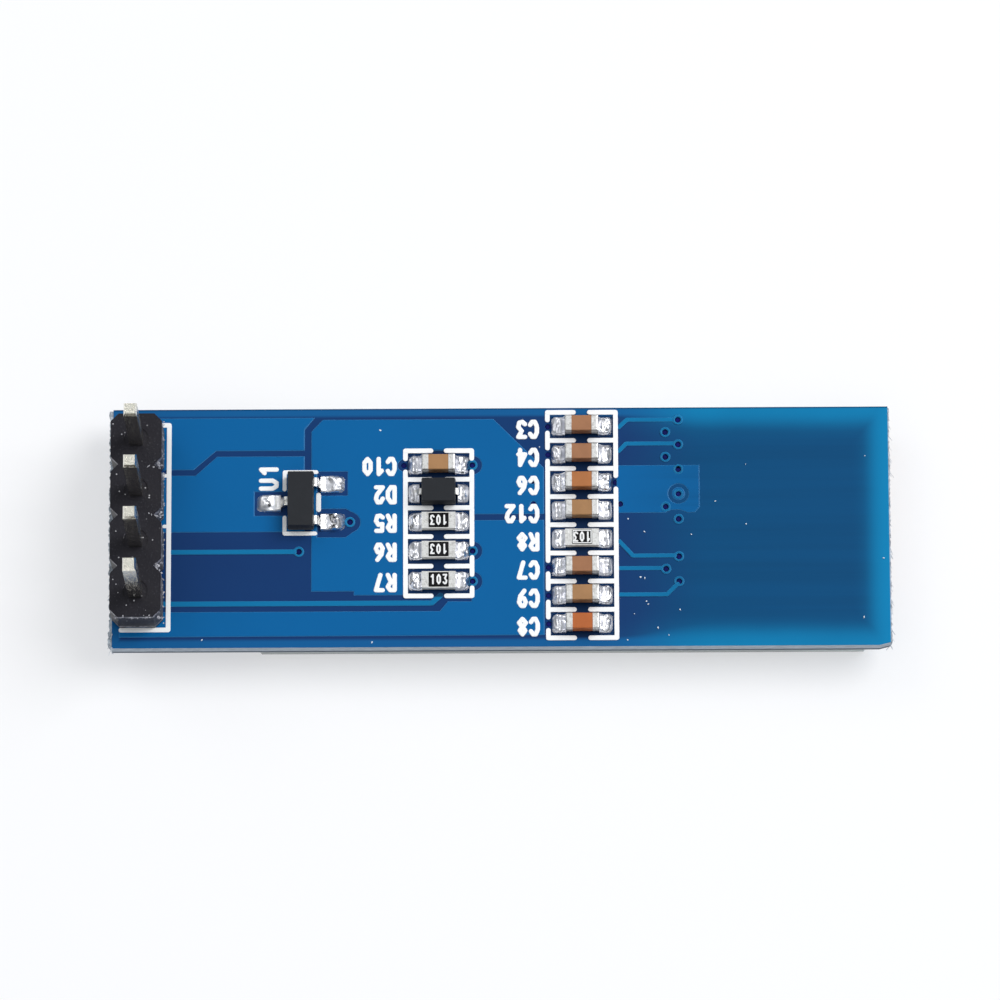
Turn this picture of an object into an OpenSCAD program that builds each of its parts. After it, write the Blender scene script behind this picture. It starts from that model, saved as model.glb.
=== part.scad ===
// Small graphic display module: a glass display panel taped under a narrow circuit
// board that carries a four-pin header, a regulator, a diode, eight capacitors and four resistors.
//
// The module lies on its display. X runs along the board with the header at its low end,
// Y runs across it and Z points up, from the display to the pins. The origin is under
// the middle of the board, on the face of the display. All sizes are in millimetres.

/* [Board] */
// Length of the circuit board
board_l = 38; // [37:0.5:60]
// Width of the circuit board
board_w = 12; // [12:0.5:20]
// Thickness of the circuit board
board_t = 1; // [0.6:0.1:2]
// Length of the sliver that broke off one corner
nick_l = 0.55; // [0.1:0.05:1.5]
// Width of the sliver that broke off one corner
nick_w = 0.14; // [0.05:0.01:0.5]
// Diameter of a via hole
via_d = 0.26; // [0.16:0.02:0.3]

/* [Display panel] */
// Length of the front glass
glass_l = 30; // [28:0.5:34]
// Width of the front glass
glass_w = 11.5; // [10:0.5:12]
// Distance from the board's end to the front glass
glass_inset = 1; // [0.9:0.05:3]
// Thickness of the front glass
glass_t = 0.7; // [0.5:0.05:1.1]
// Thickness of the cover glass behind it
cover_t = 0.55; // [0.5:0.05:1.1]
// Length of the front glass that the cover glass leaves bare
ledge_l = 3.4; // [3:0.1:5]
// Thickness of the polarising film on the front
film_t = 0.2; // [0.1:0.02:0.3]
// Margin between the film's edge and the cover glass's edge
film_margin = 0.2; // [0.1:0.05:0.6]
// Length of the lit area
lit_l = 22.4; // [16:0.1:23]
// Width of the lit area
lit_w = 5.6; // [4:0.1:8]
// Width of the rim that seals the cover glass to the front glass
seal_w = 1; // [0.6:0.1:1.5]
// Depth of the cavity in the cover glass
cavity_t = 0.3; // [0.2:0.02:0.35]
// Thickness of the tape that holds the panel to the board
tape_t = 0.35; // [0.3:0.05:1]
// Length of the tape
tape_l = 19; // [12:0.5:20]

/* [Driver and flex] */
// Length of the driver chip, across the board
driver_l = 6.4; // [4:0.2:9]
// Width of the driver chip
driver_w = 0.9; // [0.6:0.05:1.2]
// Height of the driver chip
driver_h = 0.3; // [0.2:0.05:0.4]
// Thickness of the flexible cable
flex_t = 0.1; // [0.06:0.02:0.14]
// Width of the flexible cable
flex_w = 8.8; // [8.7:0.05:9]
// Length of the cable's bond on the glass ledge
bond_l = 1.2; // [0.8:0.1:1.4]
// Length of the cable's tail, from its fold to its end
tail_l = 8.7; // [6:0.1:8.9]
// Distance between the cable's contacts
contact_pitch = 0.626; // [0.5:0.002:0.65]
// Width of one contact
contact_w = 0.34; // [0.2:0.02:0.42]
// Length of one soldered contact
contact_l = 1.3; // [0.8:0.1:2]
// Distance of the middle contacts from the middle of the board
contact_y = 1.3; // [0:0.05:1.4]

/* [Header] */
// Distance between two pins
pin_pitch = 2.54; // [2:0.02:2.54]
// Width of the square pins
pin_s = 0.64; // [0.5:0.02:0.7]
// Length of a pin above the header's plastic
pin_above = 6; // [3:0.5:10]
// Length of a pin below the board
pin_below = 1.65; // [0.5:0.05:1.75]
// Length of the taper at each end of a pin
tip_l = 0.3; // [0.1:0.05:0.8]
// Width of a pin's end face
tip_s = 0.5; // [0.2:0.02:0.6]
// Width of the header's plastic
header_w = 2.5; // [2:0.05:2.6]
// Height of the header's plastic
header_h = 2.54; // [2:0.02:3]
// Distance from the board's end to the middle of the pins
pin_inset = 1.26; // [1.25:0.01:2]
// Distance of the header from the middle of the board
header_y = 0.1; // [0:0.02:0.2]
// Length of the notch between two units, along the header
notch_l = 0.38; // [0.2:0.02:0.5]
// Depth of the notch between two units
notch_w = 0.38; // [0.2:0.02:0.5]
// Width of the channel under the header
channel_w = 1.3; // [1:0.05:1.6]
// Depth of the channel under the header
channel_t = 0.2; // [0.1:0.02:0.4]
// Radius of the dimple around each pin
dimple_r = 0.6; // [0.5:0.02:0.8]
// Depth of the dimple around each pin
dimple_t = 0.06; // [0.02:0.01:0.2]
// Gap between a pin and its hole in the plastic
pin_fit = 0.005; // [0:0.005:0.05]
// Diameter of the board's holes for the pins
pin_hole_d = 1; // [0.98:0.02:1.2]

/* [Chips] */
// Length of a chip capacitor or resistor
chip_l = 1.66; // [1.3:0.02:1.7]
// Width of a chip capacitor or resistor
chip_w = 0.82; // [0.7:0.02:0.95]
// Height of a capacitor
capacitor_h = 0.8; // [0.5:0.05:1]
// Height of a resistor
resistor_h = 0.45; // [0.35:0.05:0.6]
// Length of the metal at each end of a chip
band_l = 0.34; // [0.2:0.02:0.5]
// Thickness of the metal on a chip
metal_t = 0.025; // [0.01:0.005:0.05]
// Rounding of a capacitor's metal ends
end_r = 0.08; // [0.04:0.01:0.12]
// Height of a resistor's dark glaze above its ceramic
glaze_t = 0.04; // [0.03:0.005:0.06]
// Margin of the glaze on each side
glaze_margin = 0.05; // [0.02:0.01:0.12]

/* [Regulator and diode] */
// Size of the regulator's body across its leads
regulator_w = 1.3; // [1.2:0.05:1.6]
// Length of the regulator's body
regulator_l = 2.8; // [2.6:0.05:3.1]
// Height of the regulator's body
regulator_h = 1.05; // [0.8:0.05:1.2]
// Distance of its two outer leads from its middle
regulator_lead_y = 0.95; // [0.8:0.01:1.1]
// Width of a regulator lead
regulator_lead_w = 0.42; // [0.3:0.02:0.5]
// Distance from the regulator's middle to a lead's toe
regulator_toe = 1.25; // [1.2:0.05:1.5]
// Length of the diode's body
diode_l = 1.68; // [1.5:0.02:1.8]
// Width of the diode's body
diode_w = 1.24; // [1.1:0.02:1.3]
// Height of the diode's body
diode_h = 0.92; // [0.7:0.02:1.1]
// Width of a diode lead
diode_lead_w = 0.3; // [0.2:0.02:0.4]
// Distance from the diode's middle to a lead's toe
diode_toe = 1.28; // [1.25:0.01:1.4]
// Thickness of a lead
lead_t = 0.13; // [0.08:0.01:0.18]
// Inner radius of a lead's bends
bend_r = 0.07; // [0.03:0.01:0.12]
// Lean of a moulded body's sides
draft = 0.05; // [0.02:0.01:0.1]

/* [Solder] */
// Thickness of solder under a chip
solder_t = 0.04; // [0.02:0.01:0.08]
// Width of a chip's solder land, across the chip
land_w = 1.08; // [1:0.02:1.2]
// Distance from a chip's middle to the end of its land
land_reach = 1.5; // [1.3:0.02:1.6]
// Share of a chip's height that the solder climbs
climb = 0.6; // [0.3:0.05:0.9]
// Distance from the regulator's middle to the end of its lands
regulator_reach = 2.2; // [1.8:0.05:2.4]
// Radius of the solder cone round a pin
cone_r = 0.85; // [0.7:0.05:1]
// Height of the solder cone round a pin
cone_h = 0.9; // [0.5:0.05:1.2]

/* [Places on the board] */
// Distance from the board's end to the regulator
regulator_x = 9.22; // [8:0.05:10]
// Distance of the regulator from the middle of the board
regulator_y = 1.23; // [0:0.05:2]
// Distance from the board's end to the short column of chips
short_column_x = 15.96; // [14:0.05:17]
// Distance from the board's end to the long column of chips
long_column_x = 22.97; // [21:0.05:24]
// Place of the long column's first row
long_column_y = 5.05; // [4.9:0.05:5.2]
// Distance between the long column's rows
row_pitch = 1.417; // [1.36:0.005:1.43]

/* [Hidden] */
pin_count = 4;
contact_count = 14;
short_rows = [3.12, 1.69, 0.26, -1.2, -2.72];
long_rows = [for (i = [0 : 7]) long_column_y - row_pitch * i];
diode_row = 1;
short_resistor_rows = [2, 3, 4];
long_resistor_row = 4;
long_capacitor_rows = [0, 1, 2, 3, 5, 6, 7];

low_x = -board_l / 2;
high_x = board_l / 2;
regulator_at = [low_x + regulator_x, regulator_y];
short_x = low_x + short_column_x;
long_x = low_x + long_column_x;
diode_at = [short_x, short_rows[diode_row]];
capacitors = concat([[short_x, short_rows[0]]],
                    [for (r = long_capacitor_rows) [long_x, long_rows[r]]]);
resistors = concat([for (r = short_resistor_rows) [short_x, short_rows[r]]],
                   [[long_x, long_rows[long_resistor_row]]]);
clay_colours = ["peru", "sienna", "sienna", "chocolate", "peru", "sienna", "tan", "chocolate"];

// Heights, from the face of the display up
glass_z = film_t;
cover_z = glass_z + glass_t;
tape_z = cover_z + cover_t;
front_z = tape_z + tape_t;
back_z = front_z + board_t;
header_z = back_z + header_h;

// Display panel
glass_x1 = high_x - glass_inset;
glass_x0 = glass_x1 - glass_l;
cover_x1 = glass_x1 - ledge_l;
cover_l = cover_x1 - glass_x0;
cover_x = (glass_x0 + cover_x1) / 2;
glass_corner = 0.25;
film_l = cover_l - 2 * film_margin;
film_w = glass_w - 2 * film_margin;
lit_t = 0.03;
getter_t = 0.12;
getter_gap = 0.1;
tape_margin = 0.9;
tape_x0 = glass_x0 + tape_margin;
driver_x = cover_x1 + ledge_l / 3 - 0.1;

// Flexible cable
flex_solder_t = 0.04;
tail_z = front_z - flex_solder_t - flex_t;
fold_r = (tail_z - cover_z) / 2;
fold_x = min(glass_x1 + 0.3, high_x - fold_r - flex_t - 0.1);
tail_x = fold_x - tail_l;
flex_y = min(contact_y, (glass_w - flex_w) / 2);
contact_ys = [for (i = [0 : contact_count - 1]) contact_y + ((contact_count - 1) / 2 - i) * contact_pitch];

// Header
pin_x = low_x + pin_inset;
pin_ys = [for (i = [0 : pin_count - 1]) header_y + ((pin_count - 1) / 2 - i) * pin_pitch];

// Via holes: those that lead the cable's contacts through the board, in two staggered
// lines, those at the ends of the chip columns and those of the supply planes
via_line_x = tail_x - 0.9;
via_stagger = 0.63;
wired_contacts = [0, 1, 2, 3, 4, 6, 7, 8, 11, 12, 13];
contact_vias = [for (i = wired_contacts) [via_line_x - (i % 2) * via_stagger, contact_ys[i]]];
column_via_x = 1.65;
short_vias = [for (r = [0, 3, 4]) [short_x + column_via_x, short_rows[r]]];
long_vias = [for (r = [0, 1, 5, 6, 7]) [long_x - column_via_x, long_rows[r]]];
plane_vias = [
    [regulator_at[0] + 2.4, regulator_at[1] - regulator_lead_y],
    [regulator_at[0] - 0.1, -1.2],
    [short_x - 1.7, short_rows[0]],
    [long_x + column_via_x, long_rows[2]],
    [long_x + 1.88, 1.13],
    [long_x - 2.37, 1.15],
    [long_x - 2.42, 2.3]
];
vias = concat(contact_vias, short_vias, long_vias, plane_vias);

round_fn = 48;
fine_fn = 24;
slack = 1;

// Points on an arc about (cx, cy), from angle a0 to angle a1
function arc(cx, cy, r, a0, a1, n = 6) =
    [for (i = [0 : n]) [cx + r * cos(a0 + (a1 - a0) * i / n), cy + r * sin(a0 + (a1 - a0) * i / n)]];

// A profile drawn in X and Z, given its width along Y
module across(width) {
    translate([0, width / 2, 0]) rotate([90, 0, 0]) linear_extrude(width) children();
}

// A rectangle about the origin with round corners
module round_rectangle(x, y, r) {
    square([x - 2 * r, y], center = true);
    square([x, y - 2 * r], center = true);
    for (sx = [-1, 1], sy = [-1, 1])
        translate([sx * (x / 2 - r), sy * (y / 2 - r)]) circle(r = r, $fn = fine_fn);
}

// A rectangle about the origin with cut corners
module cut_rectangle(x, y, cut) {
    polygon([
        [cut - x / 2, -y / 2], [x / 2 - cut, -y / 2], [x / 2, cut - y / 2], [x / 2, y / 2 - cut],
        [x / 2 - cut, y / 2], [cut - x / 2, y / 2], [-x / 2, y / 2 - cut], [-x / 2, cut - y / 2]
    ]);
}

// A block standing on the origin, with its edges rounded
module soft_block(x, y, z, r) {
    intersection() {
        linear_extrude(z) round_rectangle(x, y, r);
        translate([-x / 2, 0, z / 2]) rotate([90, 0, 90]) linear_extrude(x) round_rectangle(y, z, r);
        translate([0, y / 2, z / 2]) rotate([90, 0, 0]) linear_extrude(y) round_rectangle(x, z, r);
    }
}

// A moulded block on the origin: widest at its parting line, drawn in above and below
module moulded_block(x, y, z, parting) {
    level = [[0, draft], [parting, 0], [z, draft]];
    ring = [[-1, -1], [1, -1], [1, 1], [-1, 1]];
    points = [for (s = level, c = ring) [c[0] * (x / 2 - s[1]), c[1] * (y / 2 - s[1]), s[0]]];
    sides = [for (s = [0, 1], c = [0 : 3]) [4 * s + c, 4 * s + 4 + c, 4 * s + 4 + (c + 1) % 4, 4 * s + (c + 1) % 4]];
    polyhedron(points, concat([[0, 1, 2, 3]], sides, [[11, 10, 9, 8]]));
}

// The outline of a gull-wing lead that leaves a body at height exit_z and ends at toe
module lead_profile(root, bend, toe, exit_z) {
    outer = bend_r + lead_t;
    polygon(concat(
        [[root, exit_z + lead_t]],
        arc(bend, exit_z - bend_r, outer, 90, 0),
        arc(bend + bend_r + outer, outer, bend_r, 180, 270),
        [[toe, lead_t], [toe, 0]],
        arc(bend + bend_r + outer, outer, outer, 270, 180),
        arc(bend, exit_z - bend_r, bend_r, 0, 90),
        [[root, exit_z]]
    ));
}

// The outline of solder that climbs from the end of a land to a wall
module fillet_profile(inner, wall, reach, under, top) {
    polygon(concat(
        [[inner, 0], [reach, 0]],
        [for (a = [0 : 15 : 90]) [reach - (reach - wall) * sin(a), top - (top - solder_t) * cos(a)]],
        [[wall, under], [inner, under]]
    ));
}

module pcb() {
    color("navy") difference() {
        translate([0, 0, front_z]) linear_extrude(board_t) polygon([
            [low_x, -board_w / 2], [high_x - nick_l, -board_w / 2], [high_x, nick_w - board_w / 2],
            [high_x, board_w / 2], [low_x, board_w / 2]
        ]);
        for (y = pin_ys)
            translate([pin_x, y, front_z - slack])
                cylinder(d = pin_hole_d, h = board_t + 2 * slack, $fn = round_fn);
        for (v = vias)
            translate([v[0], v[1], front_z - slack])
                cylinder(d = via_d, h = board_t + 2 * slack, $fn = fine_fn);
    }
}

// The header's plan: one eight-sided unit for each pin, joined in a row
module header_outline() {
    side = [for (i = [0 : pin_count - 1])
        let (y = (i - pin_count / 2) * pin_pitch)
        each [[header_w / 2 - notch_w, y], [header_w / 2, y + notch_l], [header_w / 2, y + pin_pitch - notch_l]]];
    end = [[header_w / 2 - notch_w, pin_count / 2 * pin_pitch]];
    right = concat(side, end);
    left = [for (i = [len(right) - 1 : -1 : 0]) [-right[i][0], right[i][1]]];
    polygon(concat(right, left));
}

module header_body() {
    hole = pin_s + 2 * pin_fit;
    color("#26262a") difference() {
        translate([pin_x, header_y, back_z]) linear_extrude(header_h) header_outline();
        translate([pin_x, header_y, back_z])
            cube([channel_w, (pin_count + 1) * pin_pitch, 2 * channel_t], center = true);
        for (y = pin_ys) {
            translate([pin_x, y, back_z + header_h / 2]) cube([hole, hole, header_h + slack], center = true);
            translate([pin_x, y, header_z - dimple_t]) cylinder(r = dimple_r, h = slack, $fn = round_fn);
        }
    }
}

// One side view of a pin: a bar with both ends tapered
module pin_outline() {
    low = front_z - pin_below;
    high = header_z + pin_above;
    polygon([
        [-tip_s / 2, low], [tip_s / 2, low], [pin_s / 2, low + tip_l], [pin_s / 2, high - tip_l],
        [tip_s / 2, high], [-tip_s / 2, high], [-pin_s / 2, high - tip_l], [-pin_s / 2, low + tip_l]
    ]);
}

module pin(i) {
    color("gainsboro") translate([pin_x, pin_ys[i], 0]) intersection() {
        across(pin_s) pin_outline();
        rotate([0, 0, 90]) across(pin_s) pin_outline();
    }
}

// Solder that fills each pin's hole and stands as a cone on the display side
module header_joints() {
    color("silver") for (y = pin_ys) translate([pin_x, y, 0]) difference() {
        union() {
            translate([0, 0, front_z]) cylinder(d = pin_hole_d, h = board_t, $fn = round_fn);
            translate([0, 0, front_z - cone_h]) rotate_extrude($fn = round_fn) polygon(concat(
                [[0, 0]],
                [for (a = [0 : 15 : 90])
                    [pin_s * 0.75 + (cone_r - pin_s * 0.75) * (1 - cos(a)), cone_h * sin(a)]],
                [[0, cone_h]]
            ));
        }
        translate([0, 0, front_z]) cube([pin_s, pin_s, 2 * (board_t + cone_h) + slack], center = true);
    }
}

// A lead leaves its body a little above the middle of the body's side
regulator_exit = solder_t + regulator_h * 0.42;
diode_exit = solder_t + diode_h * 0.42;
body_gap = 0.06;
root_l = 0.25;

module regulator_lead(side, y, grow) {
    translate([0, y, solder_t]) mirror([side < 0 ? 1 : 0, 0, 0]) across(regulator_lead_w + grow)
        lead_profile(regulator_w / 2 - root_l, regulator_w / 2 + 0.04, regulator_toe, regulator_exit - solder_t);
}

module all_regulator_leads(grow) {
    regulator_lead(-1, 0, grow);
    for (y = [-regulator_lead_y, regulator_lead_y]) regulator_lead(1, y, grow);
}

module regulator_body() {
    color("#2b2b2e") translate([regulator_at[0], regulator_at[1], back_z]) difference() {
        translate([0, 0, solder_t + body_gap])
            moulded_block(regulator_w, regulator_l, regulator_h, regulator_exit - solder_t - body_gap + lead_t / 2);
        all_regulator_leads(0);
    }
}

module regulator_leads() {
    color("gainsboro") translate([regulator_at[0], regulator_at[1], back_z]) all_regulator_leads(0);
}

// Solder on a lead's land: a film over the land and a slope up to the lead's toe
module lead_joint(side, y, toe, reach, inner, lead_w) {
    translate([0, y, 0]) mirror([side < 0 ? 1 : 0, 0, 0]) {
        translate([inner, -land_w / 2, 0]) cube([reach - inner, land_w, solder_t]);
        across(lead_w) fillet_profile(toe - lead_t, toe, reach, solder_t, solder_t + lead_t);
    }
}

module regulator_joints() {
    inner = regulator_w / 2 + 0.1;
    color("silver") translate([regulator_at[0], regulator_at[1], back_z]) {
        lead_joint(-1, 0, regulator_toe, regulator_reach, inner, regulator_lead_w);
        for (y = [-regulator_lead_y, regulator_lead_y])
            lead_joint(1, y, regulator_toe, regulator_reach, inner, regulator_lead_w);
    }
}

module all_diode_leads() {
    for (side = [0, 1])
        translate([0, 0, solder_t]) mirror([side, 0, 0]) across(diode_lead_w)
            lead_profile(diode_l / 2 - root_l, diode_l / 2 + 0.02, diode_toe, diode_exit - solder_t);
}

module diode_body() {
    color("#2b2b2e") translate([diode_at[0], diode_at[1], back_z]) difference() {
        translate([0, 0, solder_t + body_gap])
            moulded_block(diode_l, diode_w, diode_h, diode_exit - solder_t - body_gap + lead_t / 2);
        all_diode_leads();
    }
}

module diode_leads() {
    color("gainsboro") translate([diode_at[0], diode_at[1], back_z]) all_diode_leads();
}

// The fired ceramic inside a capacitor's metal ends
module capacitor_core() {
    translate([0, 0, solder_t + metal_t])
        soft_block(chip_l - 2 * metal_t, chip_w - 2 * metal_t, capacitor_h - 2 * metal_t, end_r - metal_t);
}

module capacitor_ceramic(i) {
    color(clay_colours[i]) translate([capacitors[i][0], capacitors[i][1], back_z]) capacitor_core();
}

// Two metal caps, each over five sides of the ceramic
module capacitor_ends(i) {
    color("gainsboro") translate([capacitors[i][0], capacitors[i][1], back_z]) difference() {
        translate([0, 0, solder_t]) soft_block(chip_l, chip_w, capacitor_h, end_r);
        cube([chip_l - 2 * band_l, chip_w + slack, 2 * (capacitor_h + slack)], center = true);
        capacitor_core();
    }
}

resistor_core_h = resistor_h - 2 * metal_t;

module resistor_ceramic(i) {
    color("whitesmoke") translate([resistors[i][0], resistors[i][1], back_z + solder_t + metal_t])
        translate([0, 0, resistor_core_h / 2]) cube([chip_l - 2 * metal_t, chip_w, resistor_core_h], center = true);
}

module resistor_glaze(i) {
    color("black")
        translate([resistors[i][0], resistors[i][1], back_z + solder_t + metal_t + resistor_core_h])
        linear_extrude(glaze_t) round_rectangle(chip_l - 2 * band_l, chip_w - 2 * glaze_margin, glaze_margin);
}

// Metal that wraps each end of the ceramic, over its top, end and underside
module resistor_ends(i) {
    color("gainsboro") translate([resistors[i][0], resistors[i][1], back_z + solder_t])
        for (side = [0, 1]) mirror([side, 0, 0]) across(chip_w) difference() {
            translate([chip_l / 2 - band_l, 0]) square([band_l, resistor_h]);
            translate([0, metal_t]) square([chip_l / 2 - metal_t, resistor_core_h]);
        }
}

// The two joints of a chip that stands h high
module chip_joints(at, h) {
    translate([at[0], at[1], back_z]) for (side = [0, 1]) mirror([side, 0, 0]) {
        across(chip_w)
            fillet_profile(chip_l / 2 - band_l, chip_l / 2, land_reach, solder_t, solder_t + climb * h);
        translate([chip_l / 2 - band_l, -land_w / 2, 0])
            cube([land_reach - chip_l / 2 + band_l, land_w, solder_t]);
    }
}

module short_column_joints() {
    color("silver") {
        chip_joints(capacitors[0], capacitor_h);
        for (i = [0 : len(short_resistor_rows) - 1]) chip_joints(resistors[i], resistor_h);
        translate([diode_at[0], diode_at[1], back_z]) for (side = [-1, 1])
            lead_joint(side, 0, diode_toe, land_reach, diode_l / 2 + 0.05, diode_lead_w);
    }
}

module long_column_joints() {
    color("silver") {
        for (i = [1 : len(capacitors) - 1]) chip_joints(capacitors[i], capacitor_h);
        chip_joints(resistors[len(resistors) - 1], resistor_h);
    }
}

module polarising_film() {
    color("#15151c") translate([cover_x, 0, 0]) linear_extrude(film_t)
        cut_rectangle(film_l, film_w, glass_corner);
}

module front_glass() {
    color("lightcyan", 0.5) translate([(glass_x0 + glass_x1) / 2, 0, glass_z]) linear_extrude(glass_t)
        cut_rectangle(glass_l, glass_w, glass_corner);
}

// The light-emitting films on the back of the front glass, inside the sealed cavity
module lit_layer() {
    color("dimgray") translate([cover_x, 0, cover_z]) linear_extrude(lit_t)
        square([lit_l, lit_w], center = true);
}

module cavity(z0, height, margin) {
    translate([cover_x, 0, z0]) linear_extrude(height)
        cut_rectangle(cover_l - 2 * (seal_w + margin), glass_w - 2 * (seal_w + margin), glass_corner);
}

// The cover glass, with a shallow cavity over the lit area and a rim that seals it
module cover_glass() {
    color("azure", 0.5) difference() {
        translate([cover_x, 0, cover_z]) linear_extrude(cover_t) cut_rectangle(cover_l, glass_w, glass_corner);
        cavity(cover_z - slack, cavity_t + slack, 0);
    }
}

// The sheet that keeps the cavity dry, stuck to the cavity's roof
module drying_sheet() {
    color("white") cavity(cover_z + cavity_t - getter_t, getter_t, getter_gap);
}

module driver_chip() {
    color("#3a3d42") translate([driver_x, 0, cover_z + driver_h / 2])
        cube([driver_w, driver_l, driver_h], center = true);
}

// The cable: bonded to the ledge, folded back round the glass, its tail along the board's face
module flex_cable() {
    color("#b5651d") translate([0, flex_y, 0]) {
        translate([glass_x1 - bond_l, -flex_w / 2, cover_z])
            cube([fold_x - glass_x1 + bond_l, flex_w, flex_t]);
        translate([tail_x, -flex_w / 2, tail_z]) cube([tail_l, flex_w, flex_t]);
        translate([fold_x, flex_w / 2, cover_z + flex_t + fold_r - flex_t / 2]) rotate([90, 0, 0])
            rotate([0, 0, -90]) rotate_extrude(angle = 180, $fn = round_fn)
                translate([fold_r - flex_t / 2, 0]) square([flex_t, flex_w]);
    }
}

// Solder between the tail's contacts and the board, with a bead in front of the tail's end
module flex_joints() {
    bead_l = 0.3;
    color("silver") for (y = contact_ys) translate([0, y, 0]) across(contact_w) polygon([
        [tail_x - bead_l, front_z], [tail_x + contact_l, front_z],
        [tail_x + contact_l, front_z - flex_solder_t], [tail_x, front_z - flex_solder_t],
        [tail_x, tail_z], [tail_x - bead_l, front_z - flex_solder_t / 2]
    ]);
}

module mounting_tape() {
    color("dimgray") translate([tape_x0, -glass_w / 2 + tape_margin, tape_z])
        cube([min(tape_l, tail_x - 0.6 - tape_x0), glass_w - 2 * tape_margin, tape_t]);
}

pcb();
header_body();
for (i = [0 : pin_count - 1])
    pin(i);
header_joints();
regulator_body();
regulator_leads();
regulator_joints();
diode_body();
diode_leads();
short_column_joints();
long_column_joints();
for (i = [0 : len(capacitors) - 1]) {
    capacitor_ceramic(i);
    capacitor_ends(i);
}
for (i = [0 : len(resistors) - 1]) {
    resistor_ceramic(i);
    resistor_glaze(i);
    resistor_ends(i);
}
polarising_film();
front_glass();
lit_layer();
drying_sheet();
cover_glass();
driver_chip();
flex_cable();
flex_joints();
mounting_tape();
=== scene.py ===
"""Looks of a small OLED display module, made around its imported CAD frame."""
import math
import random

import bmesh
import bpy
from bpy.props import FloatProperty, FloatVectorProperty, IntProperty, PointerProperty
from mathutils import Matrix, Vector, noise


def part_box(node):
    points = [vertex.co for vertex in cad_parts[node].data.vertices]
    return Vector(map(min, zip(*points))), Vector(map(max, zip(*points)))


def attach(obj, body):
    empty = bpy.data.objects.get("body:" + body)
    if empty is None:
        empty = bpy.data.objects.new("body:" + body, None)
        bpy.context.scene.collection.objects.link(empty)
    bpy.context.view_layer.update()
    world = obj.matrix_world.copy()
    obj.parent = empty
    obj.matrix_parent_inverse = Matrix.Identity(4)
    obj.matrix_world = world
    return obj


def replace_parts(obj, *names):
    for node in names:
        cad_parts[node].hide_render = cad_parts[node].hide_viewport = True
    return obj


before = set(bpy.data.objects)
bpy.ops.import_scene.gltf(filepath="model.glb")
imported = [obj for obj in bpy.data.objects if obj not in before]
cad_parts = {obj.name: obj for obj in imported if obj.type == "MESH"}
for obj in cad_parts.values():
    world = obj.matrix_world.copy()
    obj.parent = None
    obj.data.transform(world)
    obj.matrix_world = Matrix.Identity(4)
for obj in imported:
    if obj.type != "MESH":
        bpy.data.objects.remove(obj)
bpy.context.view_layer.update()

bl_info = {
    "name": "Small OLED module",
    "version": (1, 0, 0),
    "blender": (4, 5, 0),
    "location": "3D View > Sidebar > OLED module",
    "description": "Board, legend, header, chips, solder and screen of a small display module",
    "category": "Object",
}

MM = 0.001


# ---------------- measures and colours

def paint(red, green, blue):
    """A colour in 0-255 screen values, as the linear colour that shaders use."""
    def linear(level):
        level /= 255
        return level / 12.92 if level <= 0.04045 else ((level + 0.055) / 1.055) ** 2.4
    return tuple(linear(level) for level in (red, green, blue))


def dim(colour, factor):
    """A linear colour made darker, or lighter with a factor above 1."""
    return tuple(factor * part for part in colour)


def tint(name, description, *screen):
    """A colour property."""
    return FloatVectorProperty(name=name, description=description, default=paint(*screen),
                               subtype="COLOR", size=3, min=0.0, max=1.0)


def size(name, description, millimetres):
    """A length property, kept in metres."""
    return FloatProperty(name=name, description=description, default=millimetres * MM,
                         unit="LENGTH", min=0.0, precision=6)


def share(name, description, default, high=1.0):
    """A property that is a plain factor."""
    return FloatProperty(name=name, description=description, default=default,
                         subtype="FACTOR" if high == 1.0 else "NONE", min=0.0, max=high)


def low(node):
    """Lowest corner of a CAD node in millimetres."""
    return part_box(node)[0] / MM


def high(node):
    """Highest corner of a CAD node in millimetres."""
    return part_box(node)[1] / MM


def middle(node):
    """Middle of a CAD node in millimetres."""
    return (low(node) + high(node)) / 2


BOARD_LOW, BOARD_HIGH = low("pcb"), high("pcb")
TOP = BOARD_HIGH.z
END, EDGE = BOARD_HIGH.x, BOARD_HIGH.y
PINS = [f"pin_{i}" for i in range(1, 5)]
CAPACITORS = [f"capacitor_{i}" for i in range(1, 9)]
RESISTORS = [f"resistor_{i}" for i in range(1, 5)]
SHORT_X, LONG_X = middle("capacitor_1_ceramic").x, middle("capacitor_2_ceramic").x
SHORT_ROWS = [middle("capacitor_1_ceramic").y, middle("diode_body").y] + [
    middle(f"resistor_{i}_ceramic").y for i in (1, 2, 3)]
LONG_PARTS = CAPACITORS[1:5] + RESISTORS[3:] + CAPACITORS[5:]
LONG_ROWS = [middle(f"{part}_ceramic").y for part in LONG_PARTS]
CONTACTS, CONTACT_PITCH, CONTACT_MIDDLE = 14, 0.626, 1.3
CONTACT_ROWS = [CONTACT_MIDDLE + (6.5 - i) * CONTACT_PITCH for i in range(CONTACTS)]
REGULATOR = middle("regulator_body")
OUTER_CONTACTS, OUTER_X, INNER_X = (0, 2, 4, 6, 8, 11, 13), 8.7, 8.07
CONTACT_VIAS = [(OUTER_X if i in OUTER_CONTACTS else INNER_X, CONTACT_ROWS[i])
                for i in range(CONTACTS) if i not in (5, 9, 10)]
HEADER_PITCH = 2.54
CAMERA_TARGET, CAMERA_DISTANCE, CAMERA_LENS = (-0.036, 1.362), 387.09, 284.64
CAMERA_LIFT, CAMERA_AROUND, CAMERA_ROLL = 76.382, 1.209, -1.448
VIA_RADIUS, PIN_HOLE_RADIUS = 0.13, 0.5
COLUMN_VIAS = [(SHORT_X + 1.65, SHORT_ROWS[i]) for i in (0, 3, 4)] + [
    (LONG_X - 1.65, LONG_ROWS[i]) for i in (0, 1, 5, 6, 7)]
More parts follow.
